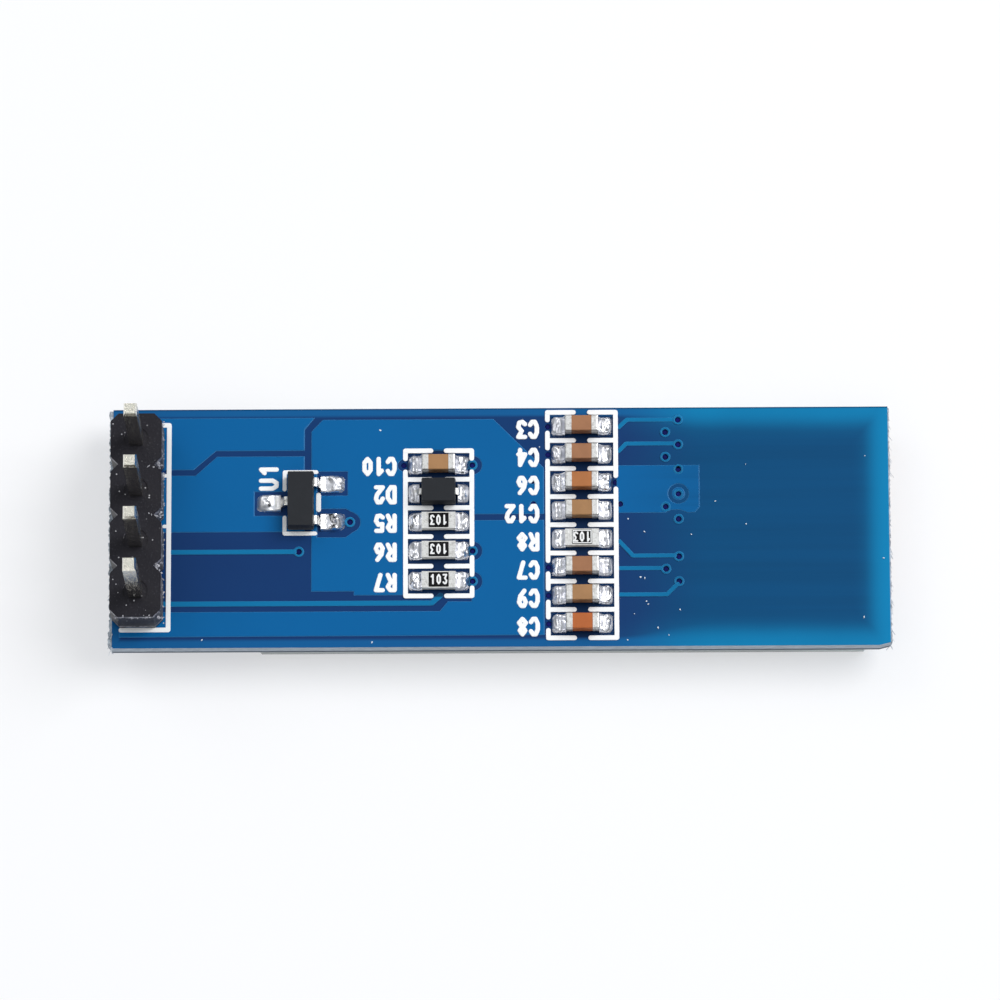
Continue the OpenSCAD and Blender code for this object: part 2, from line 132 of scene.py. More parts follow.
PLANE_VIAS = [(REGULATOR.x + 2.4, REGULATOR.y - 0.95), (REGULATOR.x - 0.1, -1.2),
              (SHORT_X - 1.7, SHORT_ROWS[0]), (LONG_X + 1.65, LONG_ROWS[2]), (LONG_X + 1.88, 1.13),
              (LONG_X - 2.37, 1.15), (LONG_X - 2.42, 2.3)]


# ---------------- node trees

class Value:
    """A socket's output. Sums and products of values add Math nodes."""

    def __init__(self, graph, socket):
        self.graph, self.socket = graph, socket

    def __add__(self, other):
        return self.graph.maths("ADD", self, other)

    __radd__ = __add__

    def __sub__(self, other):
        return self.graph.maths("SUBTRACT", self, other)

    def __rsub__(self, other):
        return self.graph.maths("SUBTRACT", other, self)

    def __mul__(self, other):
        return self.graph.maths("MULTIPLY", self, other)

    __rmul__ = __mul__


class Graph:
    """A node tree that is filled one call at a time."""

    def __init__(self, tree):
        self.tree = tree

    def node(self, kind, settings=(), inputs=(), output=0):
        """Adds a node: its settings first, then the values or links of its sockets."""
        node = self.tree.nodes.new(kind)
        for key, value in dict(settings).items():
            setattr(node, key, value)
        for key, value in dict(inputs).items():
            if isinstance(value, Value):
                self.tree.links.new(value.socket, node.inputs[key])
            else:
                node.inputs[key].default_value = value
        return Value(self, node.outputs[output]) if len(node.outputs) else None

    def maths(self, operation, *values):
        return self.node("ShaderNodeMath", {"operation": operation}, enumerate(values))

    def smooth(self, value, start, end):
        """0 below start, 1 above end, with a soft step between."""
        return self.node("ShaderNodeMapRange", {"interpolation_type": "SMOOTHSTEP"},
                         {0: value, 1: start, 2: end, 3: 0.0, 4: 1.0})

    def within(self, value, near, far):
        """1 where the value lies nearer to 0 than near, on either side, and 0 beyond far."""
        return 1 - self.smooth(self.size_of(value), near, far)

    def at_least(self, value, other):
        return self.maths("MAXIMUM", value, other)

    def at_most(self, value, other):
        return self.maths("MINIMUM", value, other)

    def size_of(self, value):
        return self.maths("ABSOLUTE", value)


class Finish(Graph):
    """A material. Its patterns are measured in millimetres of the object's own frame."""

    def __init__(self, name):
        self.material = bpy.data.materials.new(name)
        self.material.use_nodes = True
        super().__init__(self.material.node_tree)
        self.tree.nodes.clear()
        raw = self.node("ShaderNodeTexCoord", output="Object")
        self.place = self.node("ShaderNodeVectorMath", {"operation": "SCALE"}, {0: raw, 3: 1 / MM})
        self.x, self.y, self.z = self.split(self.place)

    def split(self, vector):
        """The three numbers of a vector."""
        first = self.node("ShaderNodeSeparateXYZ", (), {0: vector})
        return [Value(self, socket) for socket in first.socket.node.outputs]

    def normal(self):
        """The x, y and z of the way a face points."""
        return self.split(self.node("ShaderNodeNewGeometry", output="Normal"))

    def mix(self, factor, first, second):
        """A colour between two colours."""
        def full(colour):
            return colour if isinstance(colour, Value) else (*colour[:3], 1.0)
        return self.node("ShaderNodeMix", {"data_type": "RGBA"},
                         {0: factor, 6: full(first), 7: full(second)}, 2)

    def stretched(self, x, y, z):
        """The place, with each axis scaled."""
        return self.node("ShaderNodeVectorMath", {"operation": "MULTIPLY"},
                         {0: self.place, 1: (x, y, z)})

    def noise(self, scale, detail=2.0, roughness=0.5, place=None):
        return self.node("ShaderNodeTexNoise", (), {
            "Vector": place or self.place, "Scale": scale, "Detail": detail,
            "Roughness": roughness})

    def specks(self, scale, radius):
        """Small round spots, one in each cell of about 1/scale millimetres."""
        distance = self.node("ShaderNodeTexVoronoi", (), {"Vector": self.place, "Scale": scale})
        return 1 - self.smooth(distance, radius * 0.6, radius)

    def done(self, colour, roughness=0.5, metallic=0.0, relief=None, depth=0.01, specular=0.5,
             **fixed):
        """Joins everything to one surface shader. depth is the relief's height in millimetres."""
        inputs = {"Base Color": colour if isinstance(colour, Value) else (*colour[:3], 1.0),
                  "Roughness": roughness, "Metallic": metallic, "Specular IOR Level": specular}
        if relief is not None:
            inputs["Normal"] = self.node("ShaderNodeBump", (), {
                "Strength": 1.0, "Distance": depth * MM, "Height": relief})
        for key, value in fixed.items():
            inputs[key.replace("_", " ")] = value
        surface = self.node("ShaderNodeBsdfPrincipled", (), inputs)
        self.node("ShaderNodeOutputMaterial", (), {"Surface": surface})
        return self.material


class Recipe(Graph):
    """A Geometry Nodes tree with named inputs."""

    def __init__(self, name, **given):
        super().__init__(bpy.data.node_groups.new(name, "GeometryNodeTree"))
        sockets = self.tree.interface
        sockets.new_socket("Geometry", in_out="INPUT", socket_type="NodeSocketGeometry")
        sockets.new_socket("Geometry", in_out="OUTPUT", socket_type="NodeSocketGeometry")
        kinds = {float: "NodeSocketFloat", int: "NodeSocketInt", tuple: "NodeSocketVector"}
        for key, value in given.items():
            socket = sockets.new_socket(key.replace("_", " ").capitalize(), in_out="INPUT",
                                        socket_type=kinds[type(value)])
            socket.default_value = value
        start = self.tree.nodes.new("NodeGroupInput")
        self.geometry = Value(self, start.outputs["Geometry"])
        self.given = {key: Value(self, start.outputs[key.replace("_", " ").capitalize()])
                      for key in given}

    def random(self, ends, seed):
        """A different vector at each point, between two ends."""
        return self.node("FunctionNodeRandomValue", {"data_type": "FLOAT_VECTOR"},
                         {0: ends[0], 1: ends[1], "Seed": seed})

    def end(self, shape, material, **placing):
        """Puts the shape at every point that comes in and ends the tree."""
        copies = self.node("GeometryNodeInstanceOnPoints", (), {
            "Points": self.geometry, "Instance": shape, **placing})
        solid = self.node("GeometryNodeRealizeInstances", (), {0: copies})
        coloured = self.node("GeometryNodeSetMaterial", (), {
            "Geometry": solid, "Material": material})
        self.node("NodeGroupOutput", (), {"Geometry": coloured})

    def grow(self, name, mesh, slot, **values):
        """Runs the tree on a mesh and makes the result a piece."""
        source = bpy.data.objects.new(name + "_source", mesh)
        bpy.context.scene.collection.objects.link(source)
        modifier = source.modifiers.new("Recipe", "NODES")
        modifier.node_group = self.tree
        for item in self.tree.interface.items_tree:
            key = item.name.lower().replace(" ", "_")
            if item.in_out == "INPUT" and key in values:
                modifier[item.identifier] = values[key]
        depsgraph = bpy.context.evaluated_depsgraph_get()
        grown = bpy.data.meshes.new_from_object(source.evaluated_get(depsgraph),
                                                depsgraph=depsgraph)
        source.modifiers.remove(modifier)
        bpy.data.objects.remove(source)
        if not grown.polygons:
            raise RuntimeError(f"{name} grew nothing")
        return add_piece(name, grown)


def scatter(name, slot, points, shape, material, turns, growth, **given):
    """A small shape at each point in millimetres, turned and scaled at random between two ends."""
    recipe = Recipe(name, **given)
    seed = recipe.given["seed"]
    recipe.end(shape(recipe), material, Rotation=recipe.random(turns, seed),
               Scale=recipe.random(growth, seed + 1))
    recipe.grow(name, points_mesh(points), slot, **given)


def grain(subdivisions):
    """A small ball for scatter, whose radius is the input named size."""
    return lambda recipe: recipe.node("GeometryNodeMeshIcoSphere", (), {
        "Radius": recipe.given["size"], "Subdivisions": subdivisions})


# ---------------- meshes

def add_piece(name, mesh, material=None):
    """Puts a mesh in the scene as a piece that rides on the one body."""
    mesh.name = name
    piece = bpy.data.objects.new(name, mesh)
    bpy.context.scene.collection.objects.link(piece)
    if material is not None:
        mesh.materials.clear()
        mesh.materials.append(material)
    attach(piece, "root")
    return piece


def shade(mesh, angle=35.0):
    """Smooth faces with sharp edges where the surface turns by more than the angle."""
    mesh.shade_smooth()
    mesh.set_sharp_from_angle(angle=math.radians(angle))


def points_mesh(points):
    """Loose points, in millimetres, for a recipe to work on."""
    mesh = bpy.data.meshes.new("points")
    mesh.from_pydata([Vector(point) * MM for point in points], [], [])
    return mesh


class Build:
    """Collects shapes in millimetres and turns them into one mesh."""

    def __init__(self):
        self.bm = bmesh.new()
        self.strokes = 0

    def rings(self, rings, closed=True):
        """A skin over rings of points, from bottom to top, with both ends closed."""
        rows = [[self.bm.verts.new(point) for point in ring] for ring in rings]
        count = len(rows[0])
        for lower, upper in zip(rows, rows[1:]):
            for i in range(count):
                j = (i + 1) % count
                self.bm.faces.new((lower[i], lower[j], upper[j], upper[i]))
        self.bm.faces.new(rows[0][::-1])
        self.bm.faces.new(rows[-1])

    def capsule(self, start, end, width, base, height, soft=0.4):
        """One raised stroke between two points, with round ends."""
        start, end = Vector(start), Vector(end)
        along = end - start
        turn = math.atan2(along.y, along.x) if along.length > 1e-6 else 0.0

        def outline(radius, z):
            ring = []
            for centre, first in ((end, -90), (start, 90)):
                for step in range(7):
                    angle = turn + math.radians(first + step * 30)
                    ring.append((centre.x + radius * math.cos(angle),
                                 centre.y + radius * math.sin(angle), z))
            return ring
        radius, shoulder = width / 2, height * soft
        self.strokes += 1
        height += self.strokes * 0.618034 % 1 * 0.02
        self.rings([outline(radius, base - 0.01), outline(radius, base + height - shoulder),
                    outline(radius - shoulder, base + height)])

    def stroke(self, points, width, base, height, soft=0.4):
        """A line through several points."""
        if len(points) == 1:
            points = points * 2
        for start, end in zip(points, points[1:]):
            self.capsule(start, end, width, base, height, soft)

    def field(self, x_range, y_range, steps, height, base):
        """A closed lump whose top follows height(u, v), with u and v from 0 to 1."""
        columns, rows = steps
        (x0, x1), (y0, y1) = x_range, y_range

        def grid(top):
            return [[self.bm.verts.new((
                x0 + (x1 - x0) * i / columns, y0 + (y1 - y0) * j / rows,
                base + (height(i / columns, j / rows) if top else -0.02)))
                for j in range(rows + 1)] for i in range(columns + 1)]
        upper, lower = grid(True), grid(False)
        flip = (x1 - x0) * (y1 - y0) < 0

        def face(*verts):
            self.bm.faces.new(verts[::-1] if flip else verts)
        for i in range(columns):
            for j in range(rows):
                face(upper[i][j], upper[i + 1][j], upper[i + 1][j + 1], upper[i][j + 1])
                face(lower[i][j], lower[i][j + 1], lower[i + 1][j + 1], lower[i + 1][j])
        rim = [(i, 0) for i in range(columns)] + [(columns, j) for j in range(rows)]
        rim += [(columns - i, rows - j) for i, j in rim]
        for (a, b), (c, d) in zip(rim, rim[1:] + rim[:1]):
            face(lower[a][b], lower[c][d], upper[c][d], upper[a][b])

    def mesh(self, angle=35.0):
        mesh = bpy.data.meshes.new("shape")
        self.bm.to_mesh(mesh)
        self.bm.free()
        mesh.transform(Matrix.Scale(MM, 4))
        shade(mesh, angle)
        return mesh


def cut_sheet(outlines, base, height, slope, squeeze=1.0):
    """A flat sheet cut to outlines in millimetres, with holes where one lies in another.

    It reaches height above and below base, with rounded edges slope wide; squeeze then
    flattens it.
    """
    curve = bpy.data.curves.new("outline", "CURVE")
    curve.dimensions, curve.fill_mode = "2D", "BOTH"
    curve.extrude, curve.bevel_depth, curve.bevel_resolution = height - slope, slope, 1
    curve.offset = -slope
    for outline in outlines:
        spline = curve.splines.new("POLY")
        spline.points.add(len(outline) - 1)
        for point, (x, y) in zip(spline.points, outline):
            point.co = (x, y, 0.0, 1.0)
        spline.use_cyclic_u = True
    holder = bpy.data.objects.new("outline", curve)
    bpy.context.scene.collection.objects.link(holder)
    depsgraph = bpy.context.evaluated_depsgraph_get()
    mesh = bpy.data.meshes.new_from_object(holder.evaluated_get(depsgraph), depsgraph=depsgraph)
    bpy.data.objects.remove(holder)
    mesh.transform(Matrix.Scale(MM, 4) @ Matrix.Translation((0, 0, base))
                   @ Matrix.Diagonal((1, 1, squeeze, 1)))
    bm = bmesh.new()
    bm.from_mesh(mesh)
    bmesh.ops.remove_doubles(bm, verts=bm.verts, dist=1e-8)
    bmesh.ops.recalc_face_normals(bm, faces=bm.faces)
    bm.to_mesh(mesh)
    bm.free()
    shade(mesh, 12.0)
    return mesh


def arc(x, y, radius, start, end, steps=10):
    """Points along an arc, angles in degrees."""
    return [(x + radius * math.cos(math.radians(start + (end - start) * i / steps)),
             y + radius * math.sin(math.radians(start + (end - start) * i / steps)))
            for i in range(steps + 1)]


def box_outline(x0, x1, y0, y1):
    return [(x0, y0), (x1, y0), (x1, y1), (x0, y1)]


def join(name, meshes, material):
    """Several meshes as one piece."""
    bm = bmesh.new()
    for mesh in meshes:
        bm.from_mesh(mesh)
    joined = bpy.data.meshes.new(name)
    bm.to_mesh(joined)
    bm.free()
    for mesh in meshes:
        bpy.data.meshes.remove(mesh)
    add_piece(name, joined, material)


def dress(material, *nodes):
    """Gives CAD nodes a material."""
    for node in nodes:
        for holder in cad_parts[node].material_slots:
            holder.material = material


# ---------------- lettering

GLYPHS = {
    "0": [[(.5, 0), (.05, .25), (.05, .75), (.5, 1), (.95, .75), (.95, .25), (.5, 0)]],
    "1": [[(.15, .78), (.6, 1), (.6, 0)]],
    "2": [[(0, .75), (.3, 1), (.75, 1), (1, .75), (.85, .5), (0, 0), (1, 0)]],
    "3": [[(0, 1), (1, 1), (.5, .6), (1, .35), (.85, .05), (.4, 0), (0, .15)]],
    "4": [[(.75, 0), (.75, 1), (0, .3), (1, .3)]],
    "5": [[(.95, 1), (.1, 1), (.05, .55), (.65, .6), (1, .35), (.8, .03), (.35, 0), (0, .12)]],
    "6": [[(.8, 1), (.2, .65), (0, .25), (.35, 0), (.75, 0), (1, .25), (.75, .5), (.25, .5),
           (.05, .3)]],
    "7": [[(0, 1), (1, 1), (.35, 0)]],
    "8": [[(.5, .52), (.1, .75), (.5, 1), (.9, .75), (.5, .52), (0, .25), (.5, 0), (1, .25),
           (.5, .52)]],
    "9": [[(.2, 0), (.8, .35), (1, .75), (.65, 1), (.25, 1), (0, .75), (.25, .5), (.75, .5),
           (.95, .7)]],
    "C": [[(1, .8), (.7, 1), (.3, 1), (0, .7), (0, .3), (.3, 0), (.7, 0), (1, .2)]],
    "D": [[(0, 0), (0, 1), (.55, 1), (1, .7), (1, .3), (.55, 0), (0, 0)]],
    "R": [[(0, 0), (0, 1), (.65, 1), (1, .78), (.65, .5), (0, .5)], [(.5, .5), (1, 0)]],
    "U": [[(0, 1), (0, .25), (.3, 0), (.7, 0), (1, .25), (1, 1)]],
}


def write(build, text, start, turn, glyph, width, base, height):
    """Strokes of a short mark from its lower left corner, turned by 0, 90 or 180 degrees.

    glyph is a letter's width, its height and the step to the next letter.
    """
    across, up, step = glyph
    way = Matrix.Rotation(math.radians(turn), 2)
    for place, letter in enumerate(text):
        for line in GLYPHS[letter]:
            points = [Vector(start) + way @ Vector((place * step + x * across, y * up))
                      for x, y in line]
            build.stroke(points, width, base, height)


# ---------------- sizes and colours to change

class BoardLook(bpy.types.PropertyGroup):
    copper: tint("Masked copper", "Solder mask where copper lies under it", 4, 97, 158)
    laminate: tint("Masked laminate", "Solder mask on bare laminate near the header", 18, 52, 104)
    screen_end: tint("Masked laminate over the screen", "Solder mask at the plain end", 4, 74, 120)
    track: tint("Masked track", "Solder mask over thin tracks and the rings of vias", 10, 116, 166)
    # Painted shade: this dark colour of mask sunk into a via stands for the shade of the open via
    # beneath it.
    hole: tint("Masked hole", "Solder mask that has sunk into a via", 6, 12, 78)
    pad_shade: share("Shade round the pads", "How much darker the mask is inside the frames", 0.75)
    # Painted light: the brighter band of mask along the long edges stands for light glowing through
    # the edge.
    border_glow: tint("Border", "Solder mask along the long edges", 16, 98, 158)
    glow: tint("Edge glow", "Solder mask where light comes through the edge", 6, 130, 182)
    glass_cloth: tint("Cut edge", "Laminate at the cut edges", 192, 202, 212)
    copper_height: size("Copper height", "How far masked copper stands up", 0.035)
    slope: size("Copper edge", "Width of the rounded edge of masked copper", 0.055)
    glow_width: size("Glow width", "How far the edge glow reaches in", 2.3)
    ring_radius: size("Via ring radius", "Middle of the ring round a via", 0.205)
    fibres: IntProperty(name="Edge fibres", default=320, min=0,
                        description="Loose glass fibres on the left end, half as many on the right")


class LegendLook(bpy.types.PropertyGroup):
    ink: tint("Ink", "Printed legend", 250, 250, 250)
    line: size("Line width", "Width of the frames round the parts", 0.235)
    letter_line: size("Letter stroke", "Stroke of the reference marks", 0.225)
    letter_height: size("Letter height", "Height of a reference mark", 0.76)
    thickness: size("Ink height", "How far the ink stands up", 0.05)


class PartsLook(bpy.types.PropertyGroup):
    plastic: tint("Header plastic", "Moulded strip of the header", 30, 29, 35)
    moulding: tint("Moulding", "Regulator and diode bodies", 37, 39, 43)
    pin: tint("Pin plating", "Plating of the header pins", 236, 232, 218)
    solder: tint("Solder", "Solder joints", 238, 238, 242)
    tinned: tint("Tinned ends", "Ends of the chips and leads", 230, 229, 226)
    brown: tint("Brown ceramic", "Three of the capacitors", 160, 112, 80)
    tan: tint("Tan ceramic", "The paler capacitors", 166, 124, 84)
    orange: tint("Orange ceramic", "The third capacitor of the long column", 176, 112, 66)
    red: tint("Red ceramic", "The last capacitor of the long column", 182, 100, 52)
    glaze: tint("Glaze", "Face of the resistors", 16, 15, 17)
    alumina: tint("White ceramic", "Body of the resistors", 236, 234, 228)
    crumbs: IntProperty(name="Crumbs", description="Plastic crumbs along the cut header strip",
                        default=170, min=0)


class ScreenLook(bpy.types.PropertyGroup):
    film: tint("Film", "Polarising film on the face", 14, 15, 18)
    glass: tint("Glass", "Both panes of the screen", 226, 238, 235)
    lit: tint("Lit area", "The dots while switched off", 30, 29, 33)
    flex: tint("Flex cable", "Polyimide film of the cable", 176, 104, 34)
    flex_copper: tint("Cable conductors", "Copper under the film", 150, 78, 26)
    tape: tint("Tape", "Foam tape behind the glass", 228, 228, 224)
    silicon: tint("Driver chip", "Back of the driver chip", 58, 61, 70)


class StageLook(bpy.types.PropertyGroup):
    floor: tint("Floor", "Plain pale floor", 252, 252, 254)
    evenness: share("Evenness", "How much of the floor's shadow is taken off", 0.55)
    sky: share("Sky", "Strength of the even light overhead", 0.68, 10.0)
    key: share("Key lamp", "Power of the large lamp in watts", 2.6, 1000.0)
    fill: share("Fill lamp", "Power of the small lamp in watts", 0.35, 1000.0)


LOOKS = {"oled_board": BoardLook, "oled_legend": LegendLook, "oled_parts": PartsLook,
         "oled_screen": ScreenLook, "oled_stage": StageLook}


def look(name):
    return getattr(bpy.context.scene, "oled_" + name)


# ---------------- materials

def board_finish(name, base, edge_light=0.0, plain_share=1.0):
    """Solder mask over a base colour, with painted edge glow, painted shade in the pad frames,
    painted copper-edge highlights and pale cut sides.
    """
    board = look("board")
    m = Finish(name)
    wave = m.noise(0.3, 3.0)
    inset_y = EDGE - m.size_of(m.y)
    outer = m.at_most(m.at_most(inset_y, END - m.x), m.x + END)
    plain_end = m.smooth(m.x + 0.6 * wave, 5.6, 10.8)
    # Painted shade: the mask inside the legend frames of both chip columns is darkened by
    # pad_shade.
    framed = m.at_least(*[m.within(m.x - x, 1.52, 1.6)
                          * m.within(m.y - (rows[0] + rows[-1]) / 2, reach, reach + 0.08)
                          for x, rows, reach in ((SHORT_X, SHORT_ROWS, 3.66),
                                                 (LONG_X, LONG_ROWS, 5.6))])
    base = m.mix(framed * board.pad_shade, base, dim(board.laminate, 0.25))
    colour = m.mix(plain_end * plain_share, base, board.screen_end)
    near_long = 1 - m.smooth(inset_y + 0.5 * wave, -0.3, board.glow_width / MM)
    near_short = 1 - m.smooth(END - m.x, -0.2, 2.2)
    glow = m.at_least(near_long * (0.35 + 0.65 * near_long) * m.smooth(m.x, 4.4, 10.5) * 0.8,
                      near_short * near_short)
    bands = m.smooth(m.noise(1.0, 3.0, 0.6, m.stretched(0.03, 1.3, 1.0)), 0.35, 0.7)
    colour = m.mix(bands * plain_end * 0.3, colour, dim(board.screen_end, 0.62))
    colour = m.mix(glow, colour, board.glow)
    # Painted light: a brighter band along the long edges, part of the painted edge glow.
    border_glow = 1 - m.smooth(outer, 0.28 - 0.1 * plain_end, 0.5 + 0.8 * plain_end)
    colour = m.mix(border_glow * (0.8 - 0.15 * plain_end), colour,
                   m.mix(plain_end, board.border_glow, board.glow))
    rim = 1 - m.smooth(EDGE - m.y, 0.03, 0.11)
    colour = m.mix(rim * 0.8, colour, dim(board.copper, 0.3))
    colour = m.mix(0.2 * wave, colour, dim(board.copper, 0.6))
    upward = m.size_of(m.normal()[2])
    # Painted highlight: a pale blue on the sloped edges of raised copper.
    if edge_light:
        slope = 1 - m.smooth(upward, 0.8, 0.99)
        colour = m.mix(slope * edge_light, colour, paint(84, 150, 200))
    side = (1 - m.smooth(upward, 0.4, 0.6)) * (1 - m.smooth(outer, 0.16, 0.2))
    weave = m.noise(6.0, 4.0, place=m.stretched(0.25, 0.25, 3.0))
    layers = m.smooth(weave, 0.42, 0.6)
    lower_line = 1 - m.smooth(m.z - BOARD_LOW.z, 0.2, 0.36)
    cloth = m.mix(layers * 0.6, board.glass_cloth, dim(board.glass_cloth, 0.5))
    cloth = m.mix(lower_line * 0.85, cloth, paint(48, 66, 84))
    colour = m.mix(side, colour, cloth)
    grain = 0.25 * m.noise(9.0, 3.0) + side * 2.0 * m.noise(30.0, 3.0)
    return m.done(colour, roughness=0.36 + side * 0.4, relief=grain, depth=0.005,
                  specular=0.09)


def ink_finish():
    m = Finish("legend_ink")
    patch = m.noise(14.0, 3.0)
    return m.done(m.mix(0.25 * m.smooth(patch, 0.5, 0.8), look("legend").ink, paint(206, 216, 230)),
                  roughness=0.55, relief=patch, depth=0.008)


def metal_finish(name, colour, roughness, dark, scale, depth, patches=0.5):
    """Plating or solder: bright metal with duller patches and a fine uneven surface."""
    m = Finish(name)
    dull = m.smooth(m.noise(scale, 4.0, 0.6), 0.42, 0.66)
    fine = m.noise(scale * 5.0, 3.0)
    shade_of = m.mix(dull * patches, colour, dark)
    return m.done(shade_of, roughness=roughness + 0.18 * dull, metallic=1.0,
                  relief=m.noise(scale * 1.6, 3.0) + 0.25 * fine, depth=depth)


def plastic_finish():
    """Black moulded strip: fine grain, pale specks, dust, pale rough patches on the side facing +x
    that are partly ragged plastic and partly painted sheen, and painted highlight lines on the side
    facing -y.
    """
    m = Finish("header_plastic")
    base, top = look("parts").plastic, high("header_body").z
    specks = m.specks(3.0, 0.13) * m.smooth(m.noise(1.7, 2.0), 0.4, 0.5)
    dust = m.smooth(m.noise(9.0, 5.0, 0.75), 0.56, 0.72)
    out = m.normal()
    # Painted sheen: pale rough patches on the side facing +x, strongest near the top, partly ragged
    # plastic and partly painted sheen.
    side = m.at_least(m.smooth(out[0], 0.5, 0.8), 0.1 * m.smooth(0 - out[0], 0.5, 0.8))
    rough = m.noise(5.0, 5.0, 0.7, m.stretched(1.0, 1.0, 0.5))
    frayed_and_sheen = (m.smooth(rough, 0.42, 0.56) * side
              * (0.12 + 0.88 * m.smooth(m.z, top - 0.75, top - 0.1)))
    # Painted highlights: pale broken lines near the top and the foot of the side facing -y.
    ridge = m.smooth(m.z, top - 0.42, top - 0.3) * (1 - m.smooth(m.z, top - 0.16, top - 0.1))
    foot = m.smooth(m.z, TOP + 0.2, TOP + 0.26) * (1 - m.smooth(m.z, TOP + 0.4, TOP + 0.5))
    highlight_lines = (m.smooth(rough, 0.36, 0.56) * m.at_least(ridge, foot * 0.7)
             * m.smooth(0 - out[1], 0.3, 0.9))
    colour = m.mix(m.noise(1.2, 3.0) * 0.5, base, dim(base, 1.7))
    colour = m.mix(dust * 0.35, colour, paint(112, 112, 120))
    colour = m.mix(highlight_lines * 0.8, colour, paint(196, 196, 204))
    colour = m.mix(frayed_and_sheen * 0.85, colour, paint(196, 194, 208))
    colour = m.mix(specks * 0.8, colour, paint(205, 205, 210))
    return m.done(colour, roughness=0.42 + 0.3 * frayed_and_sheen, relief=m.noise(12.0, 4.0) + 1.5 * frayed_and_sheen,
                  depth=0.02, specular=0.14)


def moulding_finish(name, colour):
    m = Finish(name)
    grain = m.noise(26.0, 3.0, 0.65)
    worn = m.smooth(m.noise(2.0, 3.0), 0.4, 0.8)
    return m.done(m.mix(grain * 0.4 + worn * 0.2, colour, dim(colour, 1.6)),
                  roughness=0.5, relief=grain, depth=0.006, specular=0.12)


def ceramic_finish(name, colour):
    m = Finish(name)
    grain = m.noise(11.0, 4.0, 0.6)
    band = m.smooth(m.noise(1.4, 2.0, place=m.stretched(1.0, 0.6, 1.0)), 0.35, 0.7)
    shaded = m.mix(grain * 0.4, colour, dim(colour, 0.72))
    shaded = m.mix(band * 0.35, shaded, dim(colour, 1.25))
    return m.done(shaded, roughness=0.45, relief=grain, depth=0.006, specular=0.2)


def glossy_finish(name, colour, second, roughness, scale, depth=0.002, **fixed):
    """A smooth surface that still varies a little in colour and gloss."""
    m = Finish(name)
    cloud = m.noise(scale, 3.0)
    return m.done(m.mix(m.smooth(cloud, 0.35, 0.7), colour, second),
                  roughness=roughness + 0.12 * cloud, relief=m.noise(scale * 6.0, 3.0),
                  depth=depth, **fixed)


# ---------------- operators

